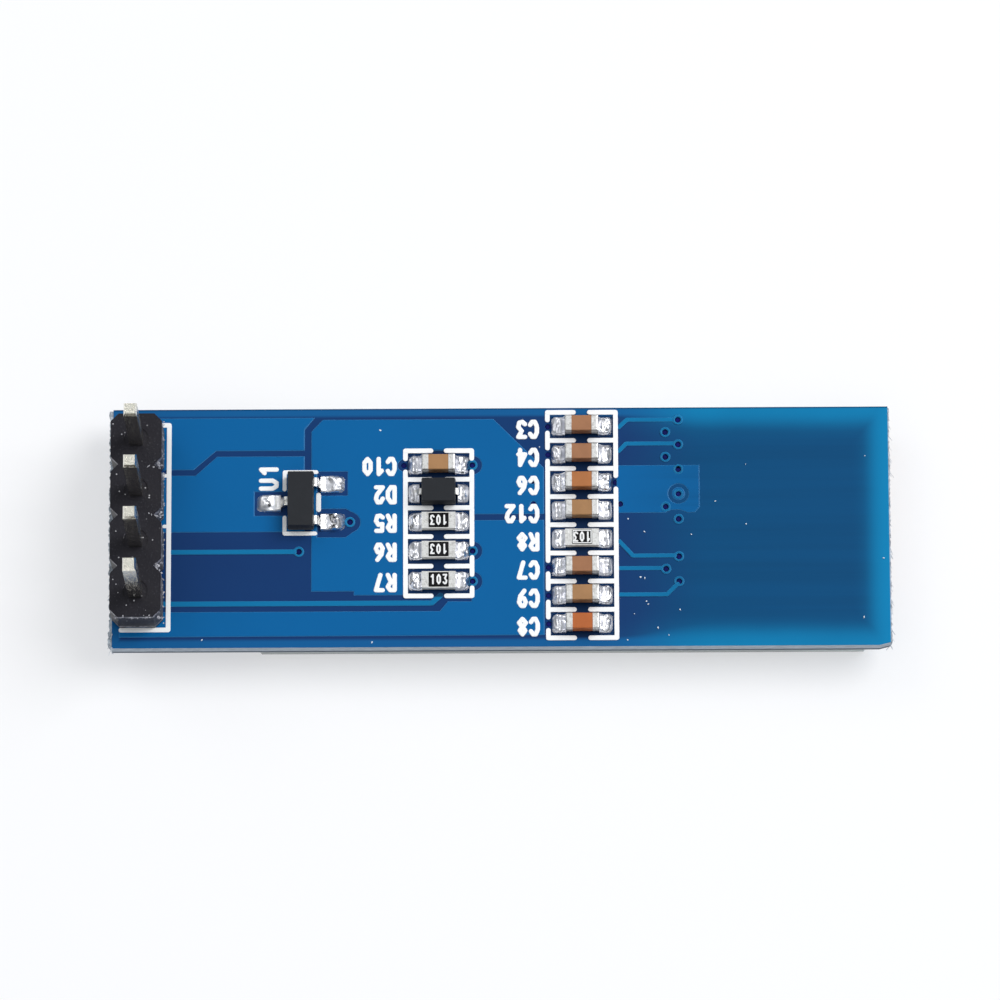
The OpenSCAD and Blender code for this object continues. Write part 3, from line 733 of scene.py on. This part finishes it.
class OLED_OT_board(bpy.types.Operator):
    """Board: solder mask, raised copper areas and tracks, via rings and cut ends"""
    bl_idname = "oled.board"
    bl_label = "Board"

    def execute(self, context):
        board = look("board")
        height = board.copper_height / MM
        mask = board_finish("board_mask", board.laminate)
        over_copper = board_finish("copper_mask", board.copper, 0.75, 0.25)
        over_track = board_finish("track_mask", board.track, 0.3, 0.25)
        self.plate(mask)
        left = BOARD_LOW.x + 0.35
        half_ring = 0.47
        upper_left = [(left, 5.55), (-9.1, 5.55), (-9.6, 4.95), (-9.6, 3.89), (-13.95, 3.89),
                      (-15.05, 2.94), (left, 2.94)]
        middle_left = [(left, 2.66), (-14.95, 2.66), (-13.9, 3.61), (-9.6, 3.61), (-9.6, -0.2),
                       (left, -0.2)]
        centre = [(-9.28, -3.2), (-9.28, 4.85), (-8.72, 5.45), (-0.35, 5.45), (2.12, 2.98),
                  (2.12, 0.65), (-1.45, 0.65), (-1.45, 2.62)]
        centre += arc(-1.39, 3.12, half_ring, -90, 90) + [(-1.45, 3.85), (-4.6, 3.85), (-4.6, 3.42)]
        centre += arc(-4.74, 3.12, 0.3, 65, 295) + [(-4.6, -3.4), (-7.2, -3.4), (-7.2, -3.2)]
        lower = [(-1.45, 0.35), (2.12, 0.35), (2.12, -5.42), (left, -5.45), (left, -4.2),
                 (-3.0, -4.2), (-2.6, -3.72), (-1.45, -3.72)]
        lower += arc(-1.39, -2.72, half_ring, -90, 90) + arc(-1.39, -1.2, half_ring, -90, 90)
        pads = [box_outline(-12.05, -10.45, 0.62, 1.82), box_outline(-8.98, -7.5, 1.62, 2.83),
                [(-8.98, -0.48), (-7.6, -0.48)] + arc(-7.38, 0.27, 0.5, -70, 70)
                + [(-7.6, 0.95), (-8.98, 0.95)]]
        right = [(5.68, 0.68), (8.05, 0.68), (8.35, 0.82)] + arc(OUTER_X, 0.38, 0.45, 100, 60, 4)
        right += [(9.15, 0.68), (9.5, 0.7), (9.74, 0.95), (9.74, 3.08), (5.68, 3.08)]
        areas = [upper_left, middle_left, centre, lower, pads[0], pads[1], pads[2], right,
                 arc(OUTER_X, 1.64, 0.5, 0, 352, 24), arc(OUTER_X, 1.64, 0.33, 0, 352, 18),
                 arc(OUTER_X, 1.64, 0.14, 0, 340, 14)]
        areas += [arc(x, y, 0.14, 0, 340, 14) for x, y in (
            CONTACT_VIAS[4], CONTACT_VIAS[6], *PLANE_VIAS[4:])]
        slope = board.slope / MM
        add_piece("copper_areas", cut_sheet(areas, TOP, slope, slope, height / slope), over_copper)
        tracks = Build()
        column = LONG_X + 1.83
        for points, width in (
                ([(-16.1, -1.2), (-10.1, -1.2)], 0.24),
                ([(left, -3.8), (-3.38, -3.8), (-2.95, -3.42)], 0.26),
                ([(column, 5.0), (6.2, 5.38), (8.45, 5.37)], 0.21),
                ([(column, 3.8), (6.15, 4.17), (8.45, 4.17)], 0.21),
                ([(column, -0.75), (6.45, -1.47), (8.5, -1.47)], 0.21),
                ([(column, -2.1), (7.8, -2.1)], 0.21),
                ([(column, -3.42), (8.1, -3.42), (8.62, -2.9)], 0.21)):
            tracks.stroke(points, width, TOP, height, 0.5)
        add_piece("tracks", tracks.mesh(), over_track)
        plugs = Build()
        for spot in CONTACT_VIAS + COLUMN_VIAS + PLANE_VIAS:
            plugs.stroke([spot], 0.258, TOP - 0.12, 0.07)
        # Painted shade: the sunk mask in each via is dark for the shade of the open via below.
        sunk = glossy_finish("sunk_mask", board.hole, dim(board.hole, 1.7), 0.4, 4.0,
                             specular=0.09)
        add_piece("via_plugs", plugs.mesh(), sunk)
        self.vias(board, over_track, height)
        self.snapped_ends(board)
        self.fibres(board)
        return {"FINISHED"}

    def plate(self, mask):
        """The bare board with its holes; the nick and the pins' holes are those of the frame."""
        nick_x, nick_y = 0.55, 0.14
        outline = [(-END, -EDGE), (END - nick_x, -EDGE), (END, nick_y - EDGE), (END, EDGE),
                   (-END, EDGE)]
        rounds = [(x, y, VIA_RADIUS) for x, y in CONTACT_VIAS + COLUMN_VIAS + PLANE_VIAS]
        rounds += [(*middle(pin).xy, PIN_HOLE_RADIUS) for pin in PINS]
        holes = [arc(*spot, 0, 345, 23) for spot in rounds]
        half = (TOP - BOARD_LOW.z) / 2
        mesh = cut_sheet([outline, *holes], TOP - half, half, 0.02)
        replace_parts(add_piece("board", mesh, mask), "pcb")

    def snapped_ends(self, board):
        """The rough laminate that stands out where the panel was broken apart."""
        draw = random.Random(8)
        m = Finish("snapped_laminate")
        rough = m.noise(3.0, 5.0, 0.7, m.stretched(1.0, 1.0, 1.5))
        colour = m.mix(m.smooth(rough, 0.4, 0.62), board.glass_cloth, dim(board.glass_cloth, 0.45))
        pale = m.done(colour, roughness=0.8, relief=m.noise(9.0, 5.0, 0.7), depth=0.03)
        sheets = []
        for end, reach in ((-END, 0.17), (END, 0.07)):
            out = 1 if end > 0 else -1
            for low_z, high_z in ((BOARD_LOW.z + 0.03, BOARD_LOW.z + 0.45),
                                  (TOP - 0.5, TOP - 0.06)):
                ys = [-EDGE + 0.14 + i * (2 * EDGE - 0.2) / 110 for i in range(111)]
                rim = [(end + out * reach * draw.uniform(0.35, 1.25), y) for y in ys]
                half = (high_z - low_z) / 2
                inner = end - out * 0.1
                sheets.append(cut_sheet([[(inner, ys[0]), *rim, (inner, ys[-1])]],
                                        low_z + half, half, 0.01))
        join("snapped_ends", sheets, pale)

    def vias(self, board, material, height):
        """A raised ring round each hole of the board that stands alone."""
        spots = CONTACT_VIAS + [PLANE_VIAS[0], PLANE_VIAS[1]] + COLUMN_VIAS[:3]
        values = {"ring_radius": board.ring_radius, "rim": 0.062 * MM, "rise": 0.75}
        recipe = Recipe("via_rings", **values)
        given = recipe.given
        circle = recipe.node("GeometryNodeCurvePrimitiveCircle", (),
                             {"Resolution": 20, "Radius": given["ring_radius"]})
        section = recipe.node("GeometryNodeCurvePrimitiveCircle", (),
                              {"Resolution": 8, "Radius": given["rim"]})
        ring = recipe.node("GeometryNodeCurveToMesh", (), {0: circle, "Profile Curve": section})
        flat = recipe.node("ShaderNodeCombineXYZ", (), {0: 1.0, 1: 1.0, 2: given["rise"]})
        recipe.end(ring, material, Scale=flat)
        recipe.grow("via_rings", points_mesh([(x, y, TOP + height * 0.3) for x, y in spots]),
                    "board", **values)

    def fibres(self, board):
        """Short glass fibres and dust along the two cut ends."""
        draw = random.Random(4)
        points = []
        for end, count in ((BOARD_LOW.x, board.fibres), (BOARD_HIGH.x, board.fibres // 2)):
            out = 1 if end > 0 else -1
            for _ in range(count):
                points.append((end + out * draw.uniform(-0.03, 0.05), draw.uniform(-EDGE, EDGE),
                               draw.uniform(BOARD_LOW.z, TOP)))
        def rod(recipe):
            thickness = recipe.given["thickness"]
            return recipe.node("GeometryNodeMeshCone", {"fill_type": "NGON"}, {
                "Vertices": 5, "Side Segments": 1, "Fill Segments": 1,
                "Radius Top": thickness * 0.4, "Radius Bottom": thickness,
                "Depth": recipe.given["length"]})
        m = Finish("glass_fibre")
        fibre = m.done(m.mix(m.noise(3.0), paint(226, 230, 234), paint(150, 160, 172)),
                       roughness=0.5)
        scatter("edge_fibres", "board", points, rod, fibre, ((1.2, -0.5, -0.6), (1.9, 0.5, 0.6)),
                ((0.6, 0.6, 0.3), (1.6, 1.6, 1.3)), length=0.34 * MM, thickness=0.022 * MM, seed=11)


class OLED_OT_legend(bpy.types.Operator):
    """Legend: frames round the parts and made-up reference marks"""
    bl_idname = "oled.legend"
    bl_label = "Legend"

    def execute(self, context):
        legend = look("legend")
        line, rise = legend.line / MM, legend.thickness / MM
        build = Build()

        def rule(*points, width=line):
            build.stroke(points, width, TOP, rise, 0.25)
        rule((-16.6, 5.2), (-16.25, 5.2), (-16.25, -5.09), (-18.55, -5.09))
        rule((-16.48, 2.65), (-16.25, 2.65), width=0.18)
        rule((-16.48, 0.1), (-16.25, 0.1), width=0.18)
        x, y = REGULATOR.x, REGULATOR.y
        rule((x - 0.8, y + 0.7), (x - 0.8, y + 1.57), (x + 0.75, y + 1.57), width=0.2)
        rule((x - 0.8, y - 0.72), (x - 0.8, y - 1.52), (x + 0.7, y - 1.52), width=0.2)
        rule((x + 0.86, y - 0.32), (x + 0.86, y + 0.42), width=0.24)
        self.frame(rule, SHORT_X, 1.625, SHORT_ROWS, 0.25, [3.12], [3.12, -1.2, -2.72])
        self.frame(rule, LONG_X, 1.67, LONG_ROWS, 0.27,
                   [5.05, 3.633, -2.035, -3.452, -4.869], [2.216])
        height = legend.letter_height / MM
        glyph, stroke = (0.33, height, 0.58), legend.letter_line / MM
        for text, row in zip(("C10", "D2", "R5", "R6", "R7"), SHORT_ROWS):
            write(build, text, (-5.2, row + 0.33), 180, glyph, stroke, TOP, rise)
        for text, row in zip(("C3", "C4", "C6", "C12", "R8", "C7", "C9", "C8"), LONG_ROWS):
            write(build, text, (1.78, row + 0.24), 180, glyph, stroke, TOP, rise)
        write(build, "U1", (-10.98, 1.98), 90, (0.4, height, 0.72), stroke, TOP, rise)
        add_piece("legend", build.mesh(), ink_finish())
        return {"FINISHED"}

    def frame(self, rule, x, half, rows, gap, left_breaks, right_breaks):
        """The frame of a column: a bar between rows, open in the middle, and broken sides."""
        pitch = (rows[0] - rows[-1]) / (len(rows) - 1)
        between = [(a + b) / 2 for a, b in zip(rows, rows[1:])]
        edges = [rows[0] + pitch / 2, *between, rows[-1] - pitch / 2]
        for edge in edges:
            rule((x - half, edge), (x - gap - 0.12, edge))
            rule((x + gap + 0.12, edge), (x + half, edge))
        for side, breaks in ((-half, left_breaks), (half, right_breaks)):
            start = edges[0]
            for spot in sorted(breaks, reverse=True):
                rule((x + side, start), (x + side, spot + 0.33))
                start = spot - 0.33
            rule((x + side, start), (x + side, edges[-1]))


class OLED_OT_header(bpy.types.Operator):
    """Header: the cut plastic strip with its crumbs, and the plated pins"""
    bl_idname = "oled.header"
    bl_label = "Header"

    def execute(self, context):
        parts = look("parts")
        dress(plastic_finish(), "header_body")
        m = Finish("pin_plating")
        scratch = m.smooth(m.noise(5.0, 4.0, 0.6, m.stretched(3.0, 3.0, 0.35)), 0.45, 0.62)
        dark = dim(parts.pin, 0.42)
        dress(m.done(m.mix(scratch * 0.35, parts.pin, dark), roughness=0.16 + 0.1 * scratch,
                     metallic=1.0, relief=0.4 * scratch + 0.3 * m.noise(5.0, 2.0), depth=0.006),
              *PINS)
        self.crumbs(parts)
        return {"FINISHED"}

    def crumbs(self, parts):
        """Torn crumbs of plastic, mostly at the notches and along the side next to the legend."""
        box_low, box_high = low("header_body"), high("header_body")
        draw = random.Random(21)
        points = []
        notches = [box_low.y + HEADER_PITCH * i for i in range(1, 4)]
        for _ in range(parts.crumbs):
            kind = draw.random()
            if kind < 0.5:
                y = draw.choice(notches) + draw.gauss(0, 0.16)
                points.append((box_high.x - abs(draw.gauss(0, 0.28)) - 0.02, y,
                               box_high.z - abs(draw.gauss(0, 0.25))))
            elif kind < 0.85:
                points.append((box_high.x + draw.gauss(0, 0.02),
                               draw.uniform(box_low.y, box_high.y),
                               draw.uniform(box_low.z, box_high.z)))
            else:
                points.append((draw.uniform(box_low.x + 0.2, box_high.x),
                               box_low.y + draw.uniform(-0.02, 0.05),
                               box_high.z - abs(draw.gauss(0, 0.3))))
        m = Finish("torn_plastic")
        torn = m.done(m.mix(m.noise(6.0, 3.0), paint(90, 90, 100), paint(235, 235, 242)),
                      roughness=0.5)
        scatter("header_crumbs", "header_plastic", points, grain(1), torn,
                ((0.0, 0.0, 0.0), (6.28, 6.28, 6.28)), ((0.3, 0.5, 0.3), (1.0, 2.4, 1.0)),
                size=0.05 * MM, seed=5)


class OLED_OT_chips(bpy.types.Operator):
    """Chips: regulator, diode, capacitors and resistors with generic values"""
    bl_idname = "oled.chips"
    bl_label = "Chips"

    def execute(self, context):
        parts = look("parts")
        moulding = moulding_finish("moulding", parts.moulding)
        dress(moulding, "regulator_body", "diode_body")
        tinned = metal_finish("tinned_end", parts.tinned, 0.3, paint(128, 126, 122), 5.0, 0.008,
                              0.55)
        dress(tinned, "regulator_leads", "diode_leads",
              *[f"{name}_ends" for name in CAPACITORS + RESISTORS])
        rows = ("tan", "brown", "brown", "orange", "tan", "brown", "tan", "red")
        finishes = {name: ceramic_finish(f"{name}_ceramic", getattr(parts, name))
                    for name in sorted(set(rows))}
        for capacitor, name in zip(CAPACITORS, rows):
            dress(finishes[name], f"{capacitor}_ceramic")
        dress(glossy_finish("alumina", parts.alumina, paint(214, 212, 206), 0.5, 5.0, 0.006),
              *[f"{name}_ceramic" for name in RESISTORS])
        glaze = glossy_finish("dark_glaze", parts.glaze, dim(parts.glaze, 2.2), 0.22, 2.0,
                              specular=0.12)
        dress(glaze, *[f"{name}_glaze" for name in RESISTORS])
        codes = Build()
        for name, turn in zip(RESISTORS, (180, 180, 0, 180)):
            spot, top = middle(f"{name}_glaze"), high(f"{name}_glaze").z
            side = -1 if turn == 0 else 1
            write(codes, "103", (spot.x + side * 0.37, spot.y + side * 0.22), turn,
                  (0.15, 0.44, 0.3), 0.085, top, 0.012)
        spot, corner, inset = middle("resistor_4_glaze"), high("resistor_4_glaze"), 0.05
        half, top = corner - spot, corner.z
        x, y = half.x - inset, half.y - inset
        codes.stroke([(spot.x - x, spot.y - y), (spot.x + x, spot.y - y), (spot.x + x, spot.y + y),
                      (spot.x - x, spot.y + y), (spot.x - x, spot.y - y)], 0.05, top, 0.01)
        m = Finish("code_ink")
        ink = m.done(m.mix(m.smooth(m.noise(20.0), 0.5, 0.8) * 0.3, paint(240, 240, 240),
                           paint(170, 170, 176)), roughness=0.5)
        add_piece("resistor_codes", codes.mesh(), ink)
        return {"FINISHED"}


class OLED_OT_solder(bpy.types.Operator):
    """Solder: a lumpy joint on every pad, thick at the part and rounded at the pad's end"""
    bl_idname = "oled.solder"
    bl_label = "Solder"

    def execute(self, context):
        metal = metal_finish("solder", look("parts").solder, 0.24, paint(176, 176, 182), 1.3,
                             0.0022, 0.25)
        dress(metal, "header_joints", "flex_joints")
        self.joints("short_column", metal, SHORT_X, SHORT_ROWS,
                    ["capacitor_1_ends", "diode_leads",
                     *[f"{name}_ends" for name in RESISTORS[:3]]])
        self.joints("long_column", metal, LONG_X, LONG_ROWS,
                    [f"{name}_ends" for name in LONG_PARTS])
        self.regulator(metal)
        return {"FINISHED"}

    def pool(self, build, x0, x1, y0, y1, climb, hump, seed):
        """One joint, from the part at x0 to the pad's outer end at x1."""
        def height(u, v):
            rough = noise.noise(Vector((u * 2.0, v * 1.9, seed * 7.3)))
            finer = noise.noise(Vector((u * 3.9, v * 3.6, seed * 3.1 + 40)))
            inside = (1 - abs(2 * v - 1) ** 4 - (max(u - 0.35, 0.0) / 0.65) ** 4 - 0.16
                      + 0.28 * rough)
            if inside <= 0:
                return -0.012
            foot = climb * max(1 - u / 0.5, 0.0) ** 1.7
            lump = hump * math.exp(-((u - 0.62) / 0.28) ** 2)
            lump *= 1 + 0.8 * rough + 0.5 * finer
            return (foot + lump + 0.04) * min(inside * 2.2, 1.0) ** 0.5
        build.field((x0, x1), (y0, y1), (20, 18), height, TOP)

    def joints(self, column, metal, x, rows, parts):
        """The joints of one column of chips."""
        name = column + "_solder"
        build = Build()
        for place, (y, part) in enumerate(zip(rows, parts)):
            reach, top = high(part).x - x, high(part).z - TOP
            for side in (-1, 1):
                start = x + side * (reach - (0.34 if part == "diode_leads" else 0.02))
                self.pool(build, start, x + side * 1.5, y - 0.49, y + 0.49,
                          min(top * 0.62, 0.5), 0.2, place * 2 + side + len(name))
        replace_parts(add_piece(name, build.mesh(60), metal), column + "_joints")

    def regulator(self, metal):
        build = Build()
        x, y = REGULATOR.x, REGULATOR.y
        for seed, (side, row) in enumerate(((-1, 0.0), (1, 0.95), (1, -0.95))):
            self.pool(build, x + side * 0.98, x + side * 2.18, y + row - 0.45, y + row + 0.45,
                      0.22, 0.26, seed + 60)
        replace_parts(add_piece("regulator_solder", build.mesh(60), metal),
                    "regulator_joints")


class OLED_OT_screen(bpy.types.Operator):
    """Screen: film, glass panes, dark dots, driver chip, flex cable and tape"""
    bl_idname = "oled.screen"
    bl_label = "Screen"

    def execute(self, context):
        screen = look("screen")
        m = Finish("film")
        lit_low, lit_high = low("lit_layer"), high("lit_layer")
        half, centre = (lit_high - lit_low) / 2, (lit_low + lit_high) / 2
        outside = m.at_least(m.size_of(m.x - centre.x) - half.x, m.size_of(m.y - centre.y) - half.y)
        cloud = m.noise(0.3, 3.0)
        face = m.mix(1 - m.smooth(outside, -0.05, 0.1), screen.film, screen.lit)
        dress(m.done(m.mix(m.smooth(cloud, 0.35, 0.7) * 0.4, face, dim(screen.film, 1.5)),
                     roughness=0.1 + 0.08 * cloud, relief=m.noise(1.8, 3.0), depth=0.002,
                     Coat_Weight=0.6, Coat_Roughness=0.03), "polarising_film")
        dress(glossy_finish("screen_glass", screen.glass, dim(screen.glass, 0.94), 0.02,
                            0.4, 0.0005, Transmission_Weight=0.55, IOR=1.52),
              "front_glass", "cover_glass")
        m = Finish("screen_dots")
        grid = m.at_most(m.size_of(m.maths("SINE", m.x * (math.pi / 0.175))),
                         m.size_of(m.maths("SINE", m.y * (math.pi / 0.175))))
        cell = m.smooth(grid, 0.1, 0.4)
        dress(m.done(m.mix(cell, paint(12, 12, 14), screen.lit),
                     roughness=0.25 + 0.1 * m.noise(1.0),
                     relief=cell, depth=0.002), "lit_layer")
        dress(glossy_finish("drying_sheet", paint(226, 224, 214), paint(206, 204, 196), 0.7, 3.0,
                            0.01), "drying_sheet")
        dress(glossy_finish("silicon", screen.silicon, dim(screen.silicon, 1.35), 0.12, 0.9),
              "driver_chip")
        m = Finish("flex")
        along = m.size_of(m.maths("SINE", (m.y - CONTACT_ROWS[-1]) * (math.pi / CONTACT_PITCH)))
        track = 1 - m.smooth(along, 0.45, 0.6)
        dress(m.done(m.mix(track * 0.8, screen.flex, screen.flex_copper),
                     roughness=0.3 + 0.1 * m.noise(2.0),
                     relief=track, depth=0.01, Coat_Weight=0.3), "flex_cable")
        m = Finish("foam_tape")
        holes = m.specks(5.0, 0.1)
        dress(m.done(m.mix(holes * 0.5, screen.tape, paint(168, 168, 166)), roughness=0.85,
                     relief=m.noise(8.0, 3.0) - holes, depth=0.02), "mounting_tape")
        return {"FINISHED"}


class OLED_OT_dust(bpy.types.Operator):
    """Dust: a few pale specks on the board"""
    bl_idname = "oled.dust"
    bl_label = "Dust"

    def execute(self, context):
        spots = [(1.91, 4.02), (6.23, 0.38), (7.02, -0.27), (9.32, -0.42), (6.82, -2.55),
                 (7.02, -2.6), (7.18, -3.91), (7.1, -3.76), (8.73, -4.18), (6.5, -4.39),
                 (7.65, -5.09), (8.18, -5.46),
                 (6.16, -5.69), (10.5, 1.25), (12.0, 3.1), (12.0, 0.1), (17.85, 3.5), (17.7, -4.6),
                 (18.7, -1.65), (-5.9, 4.9), (-14.6, -5.6), (-6.3, -5.75)]
        m = Finish("dust")
        pale = m.done(m.mix(m.noise(10.0), paint(235, 240, 246), paint(190, 205, 222)),
                      roughness=0.8)
        scatter("dust", "board", [(x, y, TOP + 0.04) for x, y in spots], grain(2), pale,
                ((0.0, 0.0, 0.0), (0.3, 0.3, 6.28)), ((0.5, 0.5, 0.2), (1.5, 1.0, 0.5)),
                size=0.045 * MM, seed=9)
        return {"FINISHED"}


class OLED_OT_stage(bpy.types.Operator):
    """Stage: plain pale floor, soft light and the camera"""
    bl_idname = "oled.stage"
    bl_label = "Stage"

    def execute(self, context):
        scene, stage = context.scene, look("stage")
        scene.view_settings.view_transform = "Standard"
        mesh = bpy.data.meshes.new("floor")
        far, under = 1.5, -0.01 * MM
        mesh.from_pydata([(x, y, under) for x, y in box_outline(-far, far, -far, far)], [],
                         [(0, 1, 2, 3)])
        floor = bpy.data.objects.new("floor", mesh)
        scene.collection.objects.link(floor)
        m = Finish("floor")
        pale = m.mix(m.noise(0.02) * 0.02, stage.floor, paint(244, 245, 250))
        shadowed = m.node("ShaderNodeBsdfDiffuse", (), {"Color": pale})
        even = m.node("ShaderNodeEmission", (), {
            "Color": (0.985, 0.99, 1.0, 1.0), "Strength": 0.985})
        seen = m.at_most(m.node("ShaderNodeLightPath", output="Is Camera Ray")
                         + m.node("ShaderNodeLightPath", output="Is Glossy Ray")
                         + m.node("ShaderNodeLightPath", output="Is Transmission Ray"), 1.0)
        m.node("ShaderNodeOutputMaterial", (), {"Surface": m.node("ShaderNodeMixShader", (), {
            0: seen * stage.evenness, 1: shadowed, 2: even})})
        mesh.materials.append(m.material)
        world = bpy.data.worlds.new("studio")
        world.use_nodes = True
        sky = Graph(world.node_tree)
        world.node_tree.nodes.clear()
        way = sky.node("ShaderNodeTexCoord", output="Generated")
        up = sky.node("ShaderNodeSeparateXYZ", (), {0: way}, "Z")
        level = 0.22 + sky.smooth(up, 0.1, 0.95) * 0.78
        sky.node("ShaderNodeOutputWorld", (), {"Surface": sky.node("ShaderNodeBackground", (), {
            "Color": (0.92, 0.96, 1.0, 1.0), "Strength": level * stage.sky})})
        scene.world = world
        self.lamp("key", stage.key, 0.4, (0.34, 0.15, 0.5))
        self.lamp("fill", stage.fill, 0.3, (-0.3, 0.3, 0.4))
        self.camera(scene)
        return {"FINISHED"}

    def lamp(self, name, power, width, place):
        light = bpy.data.lights.new(name, "AREA")
        light.shape, light.size, light.energy = "DISK", width, power
        lamp = bpy.data.objects.new(name, light)
        lamp.location = place
        lamp.rotation_euler = (-Vector(place)).to_track_quat("-Z", "Y").to_euler()
        bpy.context.scene.collection.objects.link(lamp)

    def camera(self, scene):
        """Nearly overhead, looking at a point on the board's upper face."""
        target, distance = Vector((*CAMERA_TARGET, TOP)) * MM, CAMERA_DISTANCE * MM
        lift, around, roll = map(math.radians, (CAMERA_LIFT, CAMERA_AROUND, CAMERA_ROLL))
        back = Vector((math.sin(around) * math.cos(lift), -math.cos(around) * math.cos(lift),
                       math.sin(lift)))
        right = Vector((math.cos(around), math.sin(around), 0))
        up = back.cross(right)
        across = math.cos(roll) * right + math.sin(roll) * up
        along = -math.sin(roll) * right + math.cos(roll) * up
        data = bpy.data.cameras.new("camera")
        data.sensor_width, data.lens = 36.0, CAMERA_LENS
        data.clip_start, data.clip_end = 0.01, 10.0
        camera = bpy.data.objects.new("camera", data)
        turn = Matrix((across, along, back)).transposed().to_4x4()
        camera.matrix_world = Matrix.Translation(target + back * distance) @ turn
        scene.collection.objects.link(camera)
        scene.camera = camera


STEPS = (OLED_OT_board, OLED_OT_legend, OLED_OT_header, OLED_OT_chips, OLED_OT_solder,
         OLED_OT_screen, OLED_OT_dust, OLED_OT_stage)


class OLED_PT_steps(bpy.types.Panel):
    """Lists the sizes and colours, and the step that makes each group of pieces"""
    bl_idname = "OLED_PT_steps"
    bl_label = "OLED module"
    bl_space_type = "VIEW_3D"
    bl_region_type = "UI"
    bl_category = "OLED module"

    def draw(self, context):
        for name in LOOKS:
            column = self.layout.column(align=True)
            group = getattr(context.scene, name)
            for key in group.__annotations__:
                column.prop(group, key)
        for step in STEPS:
            self.layout.operator(step.bl_idname)


def register():
    for name, group in LOOKS.items():
        bpy.utils.register_class(group)
        setattr(bpy.types.Scene, name, PointerProperty(type=group))
    for item in (*STEPS, OLED_PT_steps):
        bpy.utils.register_class(item)


def unregister():
    for item in (OLED_PT_steps, *reversed(STEPS)):
        bpy.utils.unregister_class(item)
    for name, group in reversed(LOOKS.items()):
        delattr(bpy.types.Scene, name)
        bpy.utils.unregister_class(group)


def main():
    register()
    for step in STEPS:
        group, name = step.bl_idname.split(".")
        getattr(getattr(bpy.ops, group), name)()


if __name__ == "__main__":
    main()
